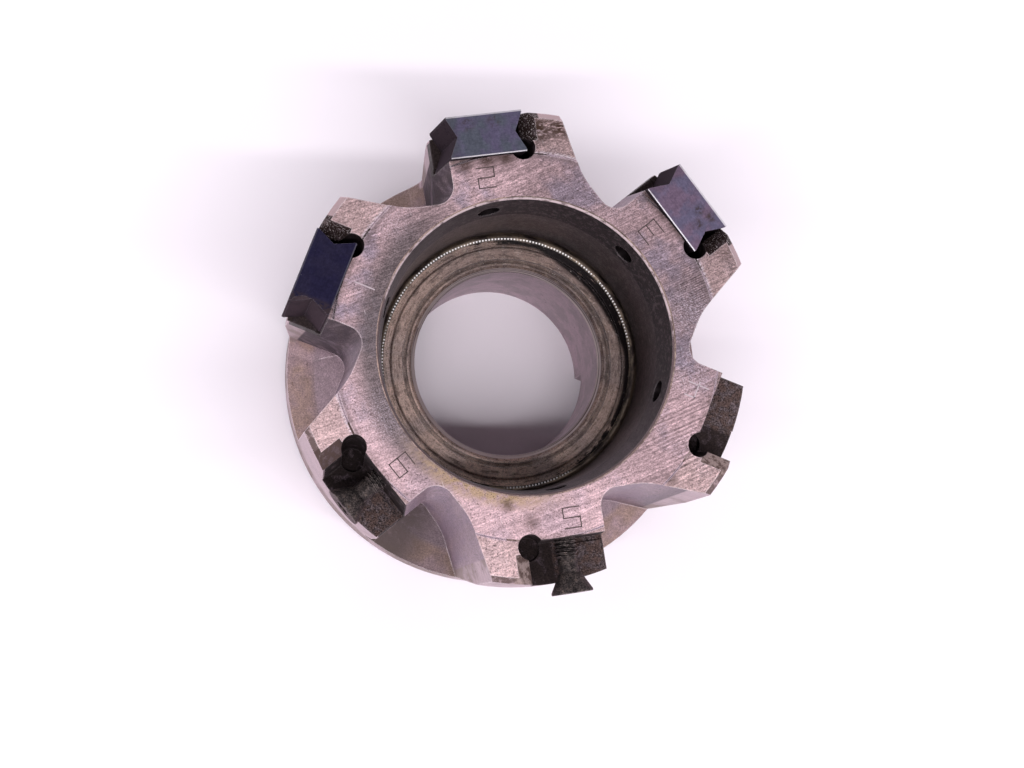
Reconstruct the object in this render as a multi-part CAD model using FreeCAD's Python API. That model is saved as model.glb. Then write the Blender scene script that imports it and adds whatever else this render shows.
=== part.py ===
import FreeCAD, Part
import math
import os

# Indexable face mill, arbor mounted, standing on its back face.
# Origin: bore axis at the back face. +Z towards the cutting end. Millimetres.
# Pocket 4 looks along +X and the drive slot runs along X.

# Turned body
body_height = 40.0
hub_radius = 29.35
hub_chamfer = 0.75
hub_height = 5.2
waist_radius = 31.0
waist_below_face = 16.0
head_radius = 31.2
head_chamfer = 0.8
land_step_radius = 25.7
land_step_depth = 0.25

# Bore and counterbore
bore_radius = 12.7
seat_height = 20.5
seat_chamfer = 0.95
counterbore_rim_radius = 19.45
counterbore_rim_chamfer = 0.4
counterbore_shelf_radius = 18.55
counterbore_shelf_below_face = 6.7
counterbore_foot_radius = 17.95
counterbore_foot_chamfer = 0.5
inner_groove_radius = 13.9
inner_groove_width = 0.55
inner_groove_depth = 0.25
outer_groove_radius = 15.9
outer_groove_depth = 0.3

# Drive slot across the back face
slot_width = 9.65
slot_depth = 5.6

# Chip gullets between the teeth, in the frame of the pocket behind each one
gullet_front_at_top = 6.4
gullet_front_below = 7.6
gullet_front_at_foot = 5.6
gullet_front_break_below_face = 10.5
gullet_corner_radius = 2.4
gullet_root = 20.0
gullet_root_length = 1.2
gullet_sweep_radius = 10.0
gullet_sweep_angle = 19.0
gullet_reach = 18.0
gullet_floor_edge_radius = 25.6
gullet_floor_edge_height = 6.9
gullet_floor_mid_radius = 21.9
gullet_floor_mid_height = 10.6
gullet_floor_top_radius = 19.6
gullet_floor_top_height = 17.5
gullet_foot_radius = 3.0

# Inserts and their pockets
pocket_angles = {1: 180.0, 2: 120.0, 3: 60.0, 4: 0.0, 5: 300.0, 6: 240.0}
insert_width = 10.3
insert_length = 10.3
insert_thickness = 5.6
insert_notch_depth = 1.2
insert_edge_land = 0.3
insert_hole_radius = 1.75
insert_sink_radius = 3.0
insert_tilt = 5.5
insert_offset = 1.6
insert_below_face = 4.4
pocket_floor = 25.5
pocket_reach = 9.0
seat_gap = 0.01
relief_radius = 1.65
relief_from_floor = 0.6
relief_from_wall = 0.4
relief_below_ledge = 1.2
ledge_recess_depth = 0.5
ledge_recess_end = -0.9
ledge_groove_width = 0.7
wall_bevel_width = 1.4
wall_bevel_height = 2.0
wall_bevel_start = 26.9

# Clamp screws
screw_radius = 1.47
screw_hole_radius = 1.5
screw_neck_radius = 1.3
screw_neck_length = 1.9
screw_head_radius = 2.775
screw_head_rim = 0.3
screw_head_cone = 2.4
screw_length = 9.5
screw_end_chamfer = 0.4
screw_seat_gap = 0.03
loose_screw_5_rise = 7.3
loose_screw_6_rise = 6.3

# Shell-shaped break in the top leading edge of insert 1
chip_radius = 2.2
chip_depth = 0.45
chip_from_outer_face = 2.0

overrun = 2.0
clear_radius = head_radius + 3 * overrun
waist_height = body_height - waist_below_face
counterbore_shelf_height = body_height - counterbore_shelf_below_face
insert_centre_height = body_height - insert_below_face
axis_point = FreeCAD.Vector(0, 0, 0)
z_axis = FreeCAD.Vector(0, 0, 1)
n_axis = FreeCAD.Vector(1, 0, 0)


def vec(x, y, z):
    return FreeCAD.Vector(x, y, z)


def polygon_face(points):
    return Part.Face(Part.makePolygon(points + [points[0]]))


def wire_face(edges):
    return Part.Face(Part.Wire(edges))


def line(a, b):
    return Part.LineSegment(a, b).toShape()


def arc(a, middle, b):
    return Part.Arc(a, middle, b).toShape()


def box(x0, x1, y0, y1, z0, z1):
    return Part.makeBox(x1 - x0, y1 - y0, z1 - z0, vec(x0, y0, z0))


# Turned blank: outer form and stepped bore in one profile
foot = counterbore_foot_radius
chamfer = counterbore_foot_chamfer
groove_end = foot - chamfer
inner_groove_end = inner_groove_radius + inner_groove_width
land_height = body_height - land_step_depth
seat_edge_radius = bore_radius + seat_chamfer
profile = [
    line(vec(bore_radius, 0, 0), vec(hub_radius - hub_chamfer, 0, 0)),
    line(vec(hub_radius - hub_chamfer, 0, 0), vec(hub_radius, 0, hub_chamfer)),
    line(vec(hub_radius, 0, hub_chamfer), vec(hub_radius, 0, hub_height)),
    line(vec(hub_radius, 0, hub_height), vec(waist_radius, 0, waist_height)),
    line(vec(waist_radius, 0, waist_height), vec(head_radius, 0, land_height - head_chamfer)),
    line(vec(head_radius, 0, land_height - head_chamfer), vec(head_radius - head_chamfer, 0, land_height)),
    line(vec(head_radius - head_chamfer, 0, land_height), vec(land_step_radius, 0, land_height)),
    line(vec(land_step_radius, 0, land_height), vec(land_step_radius - land_step_depth, 0, body_height)),
    line(vec(land_step_radius - land_step_depth, 0, body_height),
         vec(counterbore_rim_radius + counterbore_rim_chamfer, 0, body_height)),
    line(vec(counterbore_rim_radius + counterbore_rim_chamfer, 0, body_height),
         vec(counterbore_rim_radius, 0, body_height - counterbore_rim_chamfer)),
    line(vec(counterbore_rim_radius, 0, body_height - counterbore_rim_chamfer),
         vec(counterbore_shelf_radius, 0, counterbore_shelf_height)),
    line(vec(counterbore_shelf_radius, 0, counterbore_shelf_height), vec(foot, 0, seat_height + chamfer)),
    line(vec(foot, 0, seat_height + chamfer), vec(groove_end, 0, seat_height)),
    line(vec(groove_end, 0, seat_height), vec(groove_end, 0, seat_height - outer_groove_depth)),
    line(vec(groove_end, 0, seat_height - outer_groove_depth),
         vec(outer_groove_radius + outer_groove_depth, 0, seat_height - outer_groove_depth)),
    line(vec(outer_groove_radius + outer_groove_depth, 0, seat_height - outer_groove_depth),
         vec(outer_groove_radius, 0, seat_height)),
    line(vec(outer_groove_radius, 0, seat_height), vec(inner_groove_end, 0, seat_height)),
    line(vec(inner_groove_end, 0, seat_height), vec(inner_groove_end, 0, seat_height - inner_groove_depth)),
    line(vec(inner_groove_end, 0, seat_height - inner_groove_depth),
         vec(inner_groove_radius, 0, seat_height - inner_groove_depth)),
    line(vec(inner_groove_radius, 0, seat_height - inner_groove_depth), vec(inner_groove_radius, 0, seat_height)),
    line(vec(inner_groove_radius, 0, seat_height), vec(seat_edge_radius, 0, seat_height)),
    line(vec(seat_edge_radius, 0, seat_height), vec(bore_radius, 0, seat_height - seat_chamfer)),
    line(vec(bore_radius, 0, seat_height - seat_chamfer), vec(bore_radius, 0, 0)),
]
blank = wire_face(profile).revolve(axis_point, z_axis, 360)


# Gullet: a rounded channel with a coned, coved floor. Its front wall is upright low down
# and leans back beside the insert.
def gullet_cutter():
    sweep = math.radians(gullet_sweep_angle)
    half = sweep / 2
    radius = gullet_corner_radius
    front = gullet_front_below
    reach = clear_radius + overrun
    root_start = vec(gullet_root, front + radius, 0)
    root_end = vec(gullet_root, front + radius + gullet_root_length, 0)
    corner = vec(gullet_root + radius, front, 0)
    corner_middle = vec(gullet_root + radius - radius * math.cos(math.radians(45)),
                        front + radius - radius * math.sin(math.radians(45)), 0)
    centre_n = gullet_root + gullet_sweep_radius
    middle = vec(centre_n - gullet_sweep_radius * math.cos(half),
                 root_end.y + gullet_sweep_radius * math.sin(half), 0)
    end = vec(centre_n - gullet_sweep_radius * math.cos(sweep),
              root_end.y + gullet_sweep_radius * math.sin(sweep), 0)
    tail = vec(end.x + gullet_reach * math.sin(sweep), end.y + gullet_reach * math.cos(sweep), 0)
    far = vec(reach, tail.y, 0)
    mouth = vec(reach, front, 0)
    outline = wire_face([line(mouth, corner), arc(corner, corner_middle, root_start),
                         line(root_start, root_end), arc(root_end, middle, end),
                         line(end, tail), line(tail, far), line(far, mouth)])
    break_height = body_height - gullet_front_break_below_face
    channel = outline.extrude(vec(0, 0, body_height + overrun))
    corner_outline = wire_face([line(mouth, corner), arc(corner, corner_middle, root_start),
                                line(root_start, root_end), line(root_end, vec(reach, root_end.y, 0)),
                                line(vec(reach, root_end.y, 0), mouth)])
    undercut = gullet_front_below - gullet_front_at_foot
    under_ledge = corner_outline.extrude(vec(0, -undercut, -break_height))
    under_ledge.translate(vec(0, 0, break_height))
    channel = channel.fuse(under_ledge)

    floor_slope = (gullet_floor_edge_height - hub_height) / (hub_radius - gullet_floor_edge_radius)
    floor_reach = reach + 4 * overrun
    floor_outer = vec(floor_reach, 0, hub_height - floor_slope * (floor_reach - hub_radius))
    floor_edge = vec(gullet_floor_edge_radius, 0, gullet_floor_edge_height)
    floor_middle = vec(gullet_floor_mid_radius, 0, gullet_floor_mid_height)
    floor_top = vec(gullet_floor_top_radius, 0, gullet_floor_top_height)
    top = body_height + 2 * overrun
    over = vec(gullet_floor_top_radius, 0, top)
    above = wire_face([line(floor_outer, floor_edge), arc(floor_edge, floor_middle, floor_top),
                       line(floor_top, over), line(over, vec(floor_reach, 0, top)),
                       line(vec(floor_reach, 0, top), floor_outer)]).revolve(axis_point, z_axis, 360)
    channel = channel.common(above)

    # Cove between the front wall and the floor, running down with the floor
    cove = gullet_foot_radius
    foot_front = gullet_front_at_foot + undercut * gullet_floor_edge_height / break_height
    cove_end = foot_front + cove
    slope = floor_slope * math.cos(math.atan(cove_end / hub_radius))
    inner_radius = math.hypot(gullet_root, cove_end)
    level = hub_height + floor_slope * (hub_radius - inner_radius)
    cove_middle = vec(gullet_root, cove_end - cove * math.cos(math.radians(45)),
                      level + cove - cove * math.sin(math.radians(45)))
    upright = vec(gullet_root, foot_front, 2 * top)
    cove_top = vec(gullet_root, foot_front, level + cove)
    cove_foot = vec(gullet_root, cove_end, level)
    low = vec(gullet_root, cove_end, -top)
    ahead = wire_face([line(upright, cove_top), arc(cove_top, cove_middle, cove_foot),
                       line(cove_foot, low), line(low, vec(gullet_root, reach, -top)),
                       line(vec(gullet_root, reach, -top), vec(gullet_root, reach, 2 * top)),
                       line(vec(gullet_root, reach, 2 * top), upright)])
    ahead.translate(vec(-overrun, 0, overrun * slope))
    channel = channel.common(ahead.extrude(vec(floor_reach, 0, -slope * floor_reach)))

    # The leaning part is the same corner drawn upwards along the lean
    lean = (gullet_front_below - gullet_front_at_top) / gullet_front_break_below_face
    rise = gullet_front_break_below_face + overrun
    leaning = corner_outline.extrude(vec(0, -lean * rise, rise))
    leaning.translate(vec(0, 0, body_height - gullet_front_break_below_face))
    return channel.fuse(leaning)


# Pocket-frame features are drawn round the insert centre, then leaned and moved
def lean_and_place(shape, angle):
    placed = shape.copy()
    placed.rotate(axis_point, n_axis, insert_tilt)
    placed.translate(vec(0, insert_offset, insert_centre_height))
    placed.rotate(axis_point, z_axis, angle)
    return placed


def turn(shape, angle):
    turned = shape.copy()
    turned.rotate(axis_point, z_axis, angle)
    return turned


def pocket_cutter():
    wall = -insert_width / 2 - seat_gap
    ledge = -insert_length / 2 - seat_gap
    recess = ledge - ledge_recess_depth
    room = box(pocket_floor, clear_radius, wall, pocket_reach, ledge, pocket_reach)
    back_recess = box(pocket_floor, clear_radius, wall, ledge_recess_end, recess, ledge + overrun)
    foot_groove = box(pocket_floor, pocket_floor + ledge_groove_width, wall, pocket_reach,
                      recess, ledge + overrun)
    relief = Part.makeCylinder(relief_radius, pocket_reach - ledge + relief_below_ledge,
                               vec(pocket_floor + relief_from_floor, wall + relief_from_wall,
                                   ledge - relief_below_ledge), z_axis)
    hole = Part.makeCylinder(screw_hole_radius, clear_radius - foot,
                             vec(foot - overrun, 0, 0), n_axis)
    cutter = room.fuse([back_recess, foot_groove, relief, hole])
    rise = body_height - insert_centre_height
    bevel_slope = wall_bevel_height / wall_bevel_width
    bevel_foot = rise - wall_bevel_height
    bevel = polygon_face([
        vec(wall_bevel_start, wall + overrun, bevel_foot - overrun * bevel_slope),
        vec(wall_bevel_start, wall - overrun, bevel_foot + overrun * bevel_slope),
        vec(wall_bevel_start, wall + overrun, bevel_foot + overrun * bevel_slope),
    ]).extrude(vec(clear_radius - wall_bevel_start, 0, 0))
    return cutter.fuse(bevel)


gullet = gullet_cutter()
pocket = pocket_cutter()
cuts = []
for number, angle in pocket_angles.items():
    cuts.append(turn(gullet, angle))
    cuts.append(lean_and_place(pocket, angle))
drive_slot = box(-clear_radius, clear_radius, -slot_width / 2, slot_width / 2, -overrun, slot_depth)
cuts.append(drive_slot)
cutter_body = blank
for cut in cuts:
    cutter_body = cutter_body.cut(cut)
cutter_body = cutter_body.removeSplitter()


# Insert: a square bar with a shallow V along each tangential end and a sunk hole
def insert_blank():
    inner = pocket_floor + seat_gap
    outer = inner + insert_thickness
    middle = inner + insert_thickness / 2
    side = insert_width / 2
    notch = side - insert_notch_depth
    land = insert_edge_land
    points = [(inner, -side), (inner + land, -side), (middle, -notch), (outer - land, -side), (outer, -side),
              (outer, side), (outer - land, side), (middle, notch), (inner + land, side), (inner, side)]
    base = -insert_length / 2
    face = polygon_face([vec(n, t, base) for n, t in points])
    solid = face.extrude(vec(0, 0, insert_length))
    through = Part.makeCylinder(insert_hole_radius, insert_thickness + 2 * overrun,
                                vec(inner - overrun, 0, 0), n_axis)
    sink_slope = (screw_head_radius - screw_radius) / screw_head_cone
    sink_depth = (insert_sink_radius - insert_hole_radius) / sink_slope
    sink = Part.makeCone(insert_hole_radius, insert_sink_radius, sink_depth,
                         vec(outer - sink_depth, 0, 0), n_axis)
    return solid.cut(through).cut(sink)


def screw_solid(head_top):
    sections = [
        (head_top, 0.0),
        (head_top, screw_head_radius),
        (head_top - screw_head_rim, screw_head_radius),
        (head_top - screw_head_rim - screw_head_cone, screw_radius),
        (head_top - screw_head_rim - screw_head_cone, screw_neck_radius),
        (head_top - screw_head_rim - screw_head_cone - screw_neck_length, screw_neck_radius),
        (head_top - screw_head_rim - screw_head_cone - screw_neck_length, screw_radius),
        (head_top - screw_length + screw_end_chamfer, screw_radius),
        (head_top - screw_length, screw_radius - screw_end_chamfer),
        (head_top - screw_length, 0.0),
    ]
    face = polygon_face([vec(n, r, 0) for n, r in sections])
    return face.revolve(axis_point, n_axis, 360)


insert = insert_blank()
inserts = {number: lean_and_place(insert, pocket_angles[number]) for number in (1, 2, 3)}

# Insert 1 has a shell-shaped break in its top leading edge
insert_outer = pocket_floor + seat_gap + insert_thickness
chip_offset = (chip_radius - chip_depth) / math.sqrt(2)
chip = Part.makeSphere(chip_radius, vec(insert_outer - chip_from_outer_face,
                                        insert_width / 2 - insert_notch_depth / 2 + chip_offset,
                                        insert_length / 2 + chip_offset))
inserts[1] = inserts[1].cut(lean_and_place(chip, pocket_angles[1]))

sink_slope = (screw_head_radius - screw_radius) / screw_head_cone
rim_level = insert_outer - (insert_sink_radius - screw_head_radius - screw_seat_gap) / sink_slope
clamped_head_top = rim_level + screw_head_rim
screws = {number: lean_and_place(screw_solid(clamped_head_top), pocket_angles[number]) for number in (1, 2, 3)}
loose = {
    5: lean_and_place(screw_solid(pocket_floor + loose_screw_5_rise), pocket_angles[5]),
    6: lean_and_place(screw_solid(pocket_floor + loose_screw_6_rise), pocket_angles[6]),
}

os.makedirs("parts", exist_ok=True)
cutter_body.exportStep("parts/cutter_body.step")
for number in (1, 2, 3):
    inserts[number].exportStep("parts/insert_" + str(number) + ".step")
    screws[number].exportStep("parts/insert_screw_" + str(number) + ".step")
for number in (5, 6):
    loose[number].exportStep("parts/loose_screw_" + str(number) + ".step")
print("cutter_body", cutter_body.isValid(), len(cutter_body.Solids), cutter_body.Volume)
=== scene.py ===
import math
import bpy
import bmesh
from mathutils import Matrix, Vector


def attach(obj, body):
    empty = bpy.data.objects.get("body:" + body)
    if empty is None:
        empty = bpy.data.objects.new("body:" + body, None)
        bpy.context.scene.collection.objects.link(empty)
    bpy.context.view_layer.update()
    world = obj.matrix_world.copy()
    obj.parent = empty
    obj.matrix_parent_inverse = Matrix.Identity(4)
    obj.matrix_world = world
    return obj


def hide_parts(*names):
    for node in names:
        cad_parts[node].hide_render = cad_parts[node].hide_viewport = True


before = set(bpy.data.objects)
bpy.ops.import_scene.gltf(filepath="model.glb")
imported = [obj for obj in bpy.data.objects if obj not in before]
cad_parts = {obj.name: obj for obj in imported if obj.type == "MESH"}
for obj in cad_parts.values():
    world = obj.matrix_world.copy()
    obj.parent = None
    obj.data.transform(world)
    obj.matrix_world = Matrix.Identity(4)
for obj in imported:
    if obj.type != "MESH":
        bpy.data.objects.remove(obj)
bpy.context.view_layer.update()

mm = 0.001


# A shader socket with arithmetic
class Val:
    def __init__(self, nodes, socket):
        self.nodes = nodes
        self.socket = socket

    def __add__(self, other):
        return self.nodes.math("ADD", self, other)

    def __radd__(self, other):
        return self.nodes.math("ADD", other, self)

    def __sub__(self, other):
        return self.nodes.math("SUBTRACT", self, other)

    def __rsub__(self, other):
        return self.nodes.math("SUBTRACT", other, self)

    def __mul__(self, other):
        return self.nodes.math("MULTIPLY", self, other)

    def __rmul__(self, other):
        return self.nodes.math("MULTIPLY", other, self)

    def __truediv__(self, other):
        return self.nodes.math("DIVIDE", self, other)

    def __pow__(self, other):
        return self.nodes.math("POWER", self, other)

    def __lt__(self, other):
        return self.nodes.math("LESS_THAN", self, other)

    def __gt__(self, other):
        return self.nodes.math("GREATER_THAN", self, other)


# The nodes of one tree. A name in inputs stands for the socket's own, with _ for a space
class Nodes:
    def __init__(self, tree):
        self.tree = tree

    def node(self, kind, settings=None, **inputs):
        made = self.tree.nodes.new(kind)
        for key, value in (settings or {}).items():
            setattr(made, key, value)
        for key, value in inputs.items():
            self.feed(made.inputs[key.replace("_", " ")], value)
        return made

    def feed(self, target, value):
        if isinstance(value, Val):
            value = value.socket
        if isinstance(value, bpy.types.NodeSocket):
            self.tree.links.new(value, target)
        else:
            target.default_value = value

    def math(self, kind, *values):
        made = self.node("ShaderNodeMath", {"operation": kind})
        for slot, value in zip(made.inputs, values):
            self.feed(slot, value)
        return Val(self, made.outputs[0])

    def high(self, a, b):
        return self.math("MAXIMUM", a, b)

    def size(self, a):
        return self.math("ABSOLUTE", a)

    def root(self, a):
        return self.math("SQRT", a)

    # 0 at start and 1 at end, also where end is the lower one
    def step(self, value, start, end):
        made = self.node("ShaderNodeMapRange", {"interpolation_type": "SMOOTHSTEP"},
                         Value=value, From_Min=start, From_Max=end)
        return Val(self, made.outputs[0])

    def band(self, value, start, end, soft):
        return self.step(value, start - soft, start + soft) * (1.0 - self.step(value, end - soft, end + soft))

    def vector(self, a, b, c):
        made = self.node("ShaderNodeCombineXYZ", None, X=a, Y=b, Z=c)
        return made.outputs[0]

    def noise(self, where, scale, detail=3.0, rough=0.55):
        made = self.node("ShaderNodeTexNoise", None,
                         Vector=where, Scale=scale, Detail=detail, Roughness=rough)
        return Val(self, made.outputs["Fac"])

    def cells(self, where, scale):
        made = self.node("ShaderNodeTexVoronoi", None, Vector=where, Scale=scale)
        return Val(self, made.outputs["Distance"])

    # first where the share is 0, second where it is 1
    def mix(self, share, first, second):
        made = self.node("ShaderNodeMix", {"data_type": "RGBA", "clamp_factor": True})
        self.feed(made.inputs[0], share)
        self.feed(made.inputs[6], first if not isinstance(first, tuple) else (*first, 1.0))
        self.feed(made.inputs[7], second if not isinstance(second, tuple) else (*second, 1.0))
        return made.outputs[2]

    def shade(self, colour, amount):
        made = self.node("ShaderNodeVectorMath", {"operation": "SCALE"}, Scale=amount)
        self.feed(made.inputs[0], colour)
        return made.outputs[0]


# A material, with the place on the object in mm and the upward part of the facing
class Look(Nodes):
    def __init__(self, name):
        self.material = bpy.data.materials.new(name)
        self.material.use_nodes = True
        super().__init__(self.material.node_tree)
        self.shader = self.tree.nodes["Principled BSDF"]
        place = self.node("ShaderNodeTexCoord").outputs["Object"]
        parts = self.node("ShaderNodeSeparateXYZ", Vector=place)
        self.x, self.y, self.z = [Val(self, parts.outputs[i]) * 1000.0 for i in range(3)]
        self.where = self.vector(self.x, self.y, self.z)
        self.facing = self.node("ShaderNodeNewGeometry").outputs["Normal"]
        self.nz = Val(self, self.node("ShaderNodeSeparateXYZ", Vector=self.facing).outputs[2])
        self.rounded = None

    def spot(self, centre, radius, soft):
        dx = self.x - centre[0]
        dy = self.y - centre[1]
        return 1.0 - self.step(self.root(dx * dx + dy * dy), radius - soft, radius + soft)

    # 1 along the edges, which the bump then rounds as well
    def edges(self, radius):
        made = self.node("ShaderNodeBevel", {"samples": 2}, Radius=radius)
        dot = self.node("ShaderNodeVectorMath", {"operation": "DOT_PRODUCT"})
        self.feed(dot.inputs[0], made.outputs[0])
        self.feed(dot.inputs[1], self.facing)
        self.rounded = made.outputs[0]
        return self.step(1.0 - Val(self, dot.outputs["Value"]), 0.01, 0.16)

    def reflect(self, level, tint=None):
        self.shader.inputs["Specular IOR Level"].default_value = level
        if tint:
            self.shader.inputs["Specular Tint"].default_value = (*tint, 1.0)

    def finish(self, colour, rough, metal, height=None, depth=0.02, coat=None):
        self.feed(self.shader.inputs["Base Color"], colour)
        self.feed(self.shader.inputs["Roughness"], rough)
        self.feed(self.shader.inputs["Metallic"], metal)
        if coat is not None:
            self.feed(self.shader.inputs["Coat Weight"], coat)
            self.shader.inputs["Coat Roughness"].default_value = 0.12
        if height is not None:
            bump = self.node("ShaderNodeBump", None, Height=height)
            bump.inputs["Strength"].default_value = 1.0
            bump.inputs["Distance"].default_value = depth * mm
            if self.rounded:
                self.feed(bump.inputs["Normal"], self.rounded)
            self.feed(self.shader.inputs["Normal"], bump.outputs[0])
        return self.material


# Middle of each insert's seat in its pocket's own sector, in mm, and its lean in degrees
pocketSet = {"offset": 1.6, "centre": 35.6, "tilt": 5.5}


# Cutter body. Places in mm: r out from the axis, z up, and in each pocket's own sector n straight
# out through the pocket and t across it. Angles in degrees, 0 at pocket 4
bodySet = {
    "pockets": 6, "sectorStart": 18.0, "edge": 0.27, "bump": 0.03, "reflection": 0.12,
    "place": {
        "topFacing": (0.90, 0.97), "topStart": (39.3, 39.6), "rim": (19.68, 39.58), "rimBand": (19.7, 20.2),
        "head": (30.2, 38.7), "mouth": (19.86, 19.95), "seatStart": (20.0, 20.15), "bore": 13.75,
        "chamfer": (12.72, 19.4, 20.45), "outer": (28.3, 28.6), "gulletFloor": (19.5, 19.0),
        "pocketBack": 25.38, "pocketEnds": (-6.3, 7.9), "pocketFloor": 29.2, "outside": 30.78,
        "relief": (22.8, 28.0), "reliefEnds": (-6.6, -0.4), "reliefFloor": 24.0,
        "screwHoleRadius": 1.56, "screwHoleReach": (18.4, 25.6), "land": (25.6, 26.0),
        "shoulder": (24.95, 25.45, 25.95), "innerGroove": (13.88, 14.47), "wornRing": (14.7, 15.7),
        "oilRing": (16.4, 17.9),
    },
    "colour": {
        "face": (0.56, 0.395, 0.425), "faceBlue": (0.40, 0.315, 0.385), "faceShaded": (0.24, 0.185, 0.205),
        "faceBluish": (0.20, 0.18, 0.23), "faceGrey": (0.150, 0.122, 0.130), "land": (0.55, 0.40, 0.385),
        "paleFleck": (0.74, 0.66, 0.80), "scratch": (0.88, 0.80, 0.85), "ringMark": (0.15, 0.10, 0.105),
        "pepper": (0.11, 0.075, 0.08), "stain": (0.40, 0.285, 0.155), "stainSpeck": (0.095, 0.062, 0.045),
        "dirt": (0.060, 0.036, 0.028), "pocketFringe": (0.10, 0.07, 0.065),
        "shoulderDark": (0.16, 0.12, 0.13), "shoulderBright": (0.78, 0.70, 0.78),
        "wall": (0.300, 0.222, 0.255), "wallSecond": (0.255, 0.190, 0.235), "wallSpeck": (0.06, 0.04, 0.04),
        "sootAndShadow": (0.065, 0.050, 0.056),
        "hub": (0.225, 0.158, 0.142), "hubSecond": (0.235, 0.168, 0.180), "cove": (0.200, 0.150, 0.168),
        "hubShaded": (0.075, 0.058, 0.056), "hubPit": (0.085, 0.050, 0.038),
        "outside": (0.44, 0.335, 0.365), "outsideSecond": (0.25, 0.185, 0.175), "knock": (0.10, 0.062, 0.052),
        "rub": (0.62, 0.54, 0.57), "headEdge": (0.40, 0.30, 0.31), "headEdgeDark": (0.10, 0.068, 0.062),
        "sinkTop": (0.016, 0.0085, 0.0105), "sinkLow": (0.044, 0.030, 0.034),
        "sinkPale": (0.175, 0.145, 0.160), "sinkFleck": (0.125, 0.096, 0.100),
        "sinkGlint": (0.42, 0.33, 0.34),
        "seat": (0.42, 0.300, 0.260), "seatSecond": (0.31, 0.235, 0.22), "seatWorn": (0.46, 0.345, 0.325),
        "grime": (0.070, 0.050, 0.045), "seatBright": (0.62, 0.50, 0.43), "groove": (0.055, 0.042, 0.040),
        "seatPit": (0.07, 0.045, 0.038), "seatGlint": (0.80, 0.72, 0.70), "oil": (0.010, 0.007, 0.008),
        "bore": (0.52, 0.40, 0.45), "boreSecond": (0.40, 0.32, 0.35), "boreSpot": (0.08, 0.06, 0.055),
        "chamferDark": (0.13, 0.100, 0.092), "chamferBright": (0.82, 0.72, 0.70),
        "rim": (0.56, 0.45, 0.47), "rimDark": (0.14, 0.10, 0.105),
        "soot": (0.026, 0.018, 0.018), "granule": (0.10, 0.078, 0.078), "pad": (0.135, 0.106, 0.112),
        "rust": (0.110, 0.072, 0.066), "bevel": (0.33, 0.25, 0.235), "bevelPit": (0.05, 0.032, 0.026),
        "bevelBlack": (0.030, 0.018, 0.017), "bevelFleck": (0.50, 0.44, 0.45),
        "bevelBrown": (0.085, 0.056, 0.052), "edge": (0.92, 0.80, 0.84),
    },
    # The face was cut in arcs about a far point: its place, their radius here and two spacings
    "cut": {"centre": (-278.0, 288.0), "radius": 400.0, "ripple": 0.53, "comb": 0.29},
    # Marks on the face: place, radius, strength and, for dirt, whether its edge is rough
    "dirtSpots": (((-8.9, 27.5), 1.7, 1.0, False), ((-6.4, 28.7), 1.3, 1.0, False),
                  ((20.3, 21.4), 0.9, 0.6, False), ((8.4, 24.9), 0.9, 0.9, True),
                  ((10.6, 23.8), 0.9, 0.8, True), ((13.0, 22.5), 0.9, 0.9, True),
                  ((15.6, 21.0), 0.9, 0.8, True), ((-11.6, 22.3), 1.0, 0.9, True),
                  ((-13.8, 21.0), 1.1, 0.9, True), ((-16.2, 19.1), 1.0, 0.8, True),
                  ((5.2, -20.5), 0.8, 0.7, True), ((-24.2, 5.4), 0.9, 0.5, False),
                  ((9.0, -21.4), 0.9, 0.6, True), ((-1.0, -23.4), 0.8, 0.6, True),
                  ((24.2, -9.4), 0.7, 0.6, True)),
    "paleSpots": (((18.6, 12.4), 2.4, 0.75), ((21.6, 4.6), 2.2, 0.5), ((-14.6, -16.0), 3.0, 0.45),
                  ((-22.6, 8.4), 2.2, 0.4), ((3.4, 22.8), 2.6, 0.45)),
}


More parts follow.
